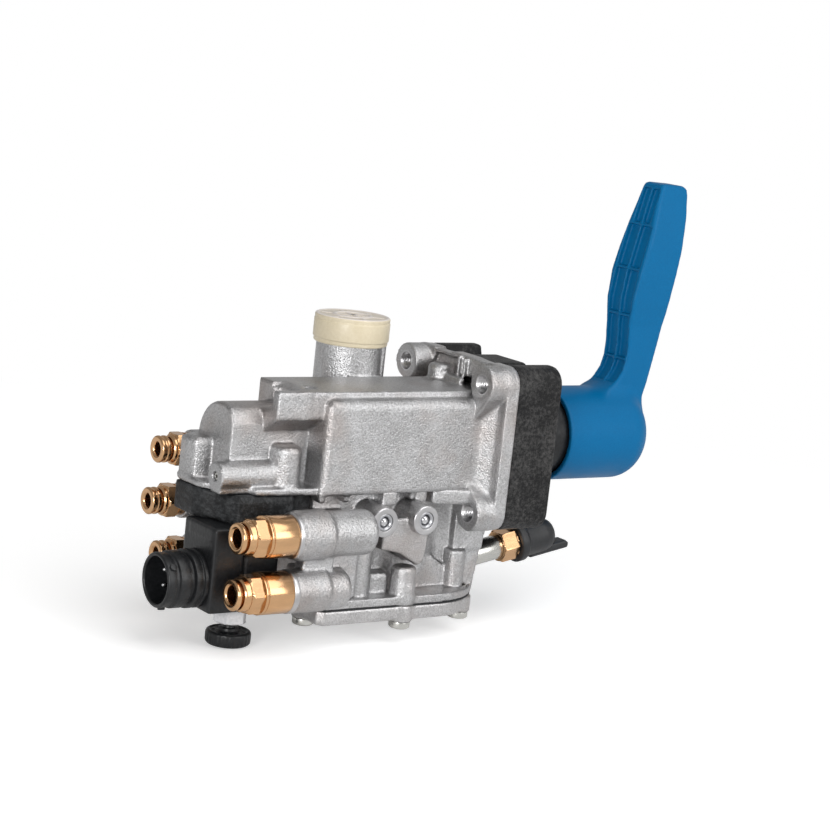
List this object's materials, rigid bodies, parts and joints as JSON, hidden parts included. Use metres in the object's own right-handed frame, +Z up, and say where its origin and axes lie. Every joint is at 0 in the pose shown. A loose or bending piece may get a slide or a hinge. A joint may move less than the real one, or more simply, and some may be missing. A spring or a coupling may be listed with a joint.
{
  "type": "hand lever air suspension valve",
  "caption": "Cast valve block with a blue hand lever on its shaft, push-in tube fittings, a round electrical connector, a capped filter neck and a bolted base.",
  "frame": {"origin": "centre of the four mounting holes, on the faces of their bosses, on the lever shaft's axis", "axes": "+X along the shaft towards the lever, +Z up along the lever, -Y the side with the two large tube fittings"},
  "size_m": [0.2816, 0.0928, 0.2132],
  "materials": {
    "cast_aluminium": "die cast, matt",
    "cover_aluminium": "die cast, matt",
    "zinc_steel": "zinc plated",
    "bright_steel": "polished",
    "brass": "turned",
    "black_plastic": "moulded",
    "frame_black": "grained and scuffed",
    "blue_plastic": "satin",
    "cream_plastic": "satin",
    "white_plastic": "satin",
    "grey_alloy": "anodised",
    "black_rubber": "matt",
    "filter_felt": "felt",
    "coil_copper": "enamelled wire"
  },
  "bodies": {
    "housing": {"valve_housing": "cast_aluminium", "port_body": "cast_aluminium", "base_cover": "cover_aluminium", "base_gasket": "black_rubber", "cover_screws": "zinc_steel", "gallery_plugs": "zinc_steel", "gallery_balls": "bright_steel", "filter_cap": "cream_plastic", "filter_element": "filter_felt", "stop_screw": "zinc_steel", "pilot_plate": "black_plastic", "pilot_screws": "zinc_steel", "solenoid_block": "black_plastic", "connector_shell": "black_plastic", "connector_pins": "bright_steel", "solenoid_coil": "coil_copper", "plunger_spring": "bright_steel", "vent_nut": "white_plastic", "near_upper_fitting": "brass", "near_lower_fitting": "brass", "far_top_fitting": "brass", "far_middle_fitting": "brass", "far_bottom_fitting": "brass", "tube_seals": "black_rubber", "spacer_frame": "frame_black", "frame_screws": "zinc_steel", "hub_collar": "black_plastic", "return_spring": "bright_steel", "shaft_bush": "brass", "shaft_seal": "black_rubber", "detent_ball": "bright_steel", "detent_spring": "bright_steel", "detent_plug": "zinc_steel", "piston_springs": "bright_steel", "test_stub": "zinc_steel", "test_coupling": "brass", "test_valve_pin": "bright_steel"},
    "rotor_group": {"rotor": "grey_alloy", "rotor_seals": "black_rubber"},
    "lever_group": {"lever": "blue_plastic", "lever_shaft": "bright_steel", "lever_pin": "bright_steel", "shaft_circlip": "zinc_steel"},
    "knob_group": {"vent_knob": "black_plastic"},
    "plunger_group": {"solenoid_plunger": "zinc_steel"},
    "left_piston_group": {"left_piston": "grey_alloy", "left_piston_seal": "black_rubber"},
    "right_piston_group": {"right_piston": "grey_alloy", "right_piston_seal": "black_rubber"},
    "near_upper_group": {"near_upper_collet": "brass"},
    "near_lower_group": {"near_lower_collet": "brass"},
    "far_top_group": {"far_top_collet": "brass"},
    "far_middle_group": {"far_middle_collet": "brass"},
    "far_bottom_group": {"far_bottom_collet": "brass"},
    "test_cap_group": {"test_cap": "black_rubber"}
  },
  "joints": [
    {"name": "lever_turn", "type": "hinge", "parent": "housing", "child": "rotor_group", "pos_m": [0, 0, 0], "axis": [1, 0, 0], "range_deg": [-48, 48]},
    {"name": "lever_push", "type": "slide", "parent": "rotor_group", "child": "lever_group", "axis": [1, 0, 0], "range_m": [-0.008, 0], "stiffness_N_per_m": 1500, "springref_m": 0.004},
    {"name": "knob_press", "type": "slide", "parent": "housing", "child": "knob_group", "axis": [0, 0, 1], "range_m": [0, 0.002], "stiffness_N_per_m": 500, "springref_m": -0.001},
    {"name": "plunger_slide", "type": "slide", "parent": "housing", "child": "plunger_group", "axis": [0, 0, 1], "range_m": [0, 0.002]},
    {"name": "left_piston_slide", "type": "slide", "parent": "housing", "child": "left_piston_group", "axis": [0, 0, 1], "range_m": [0, 0.003]},
    {"name": "right_piston_slide", "type": "slide", "parent": "housing", "child": "right_piston_group", "axis": [0, 0, 1], "range_m": [0, 0.003]},
    {"name": "near_upper_release", "type": "slide", "parent": "housing", "child": "near_upper_group", "axis": [1, 0, 0], "range_m": [0, 0.0012]},
    {"name": "near_lower_release", "type": "slide", "parent": "housing", "child": "near_lower_group", "axis": [1, 0, 0], "range_m": [0, 0.0012]},
    {"name": "far_top_release", "type": "slide", "parent": "housing", "child": "far_top_group", "axis": [1, 0, 0], "range_m": [0, 0.0012]},
    {"name": "far_middle_release", "type": "slide", "parent": "housing", "child": "far_middle_group", "axis": [1, 0, 0], "range_m": [0, 0.0012]},
    {"name": "far_bottom_release", "type": "slide", "parent": "housing", "child": "far_bottom_group", "axis": [1, 0, 0], "range_m": [0, 0.0012]},
    {"name": "cap_pull", "type": "slide", "parent": "housing", "child": "test_cap_group", "axis": [0.9833, 0, 0.1822], "range_m": [0, 0.014]}
  ]
}
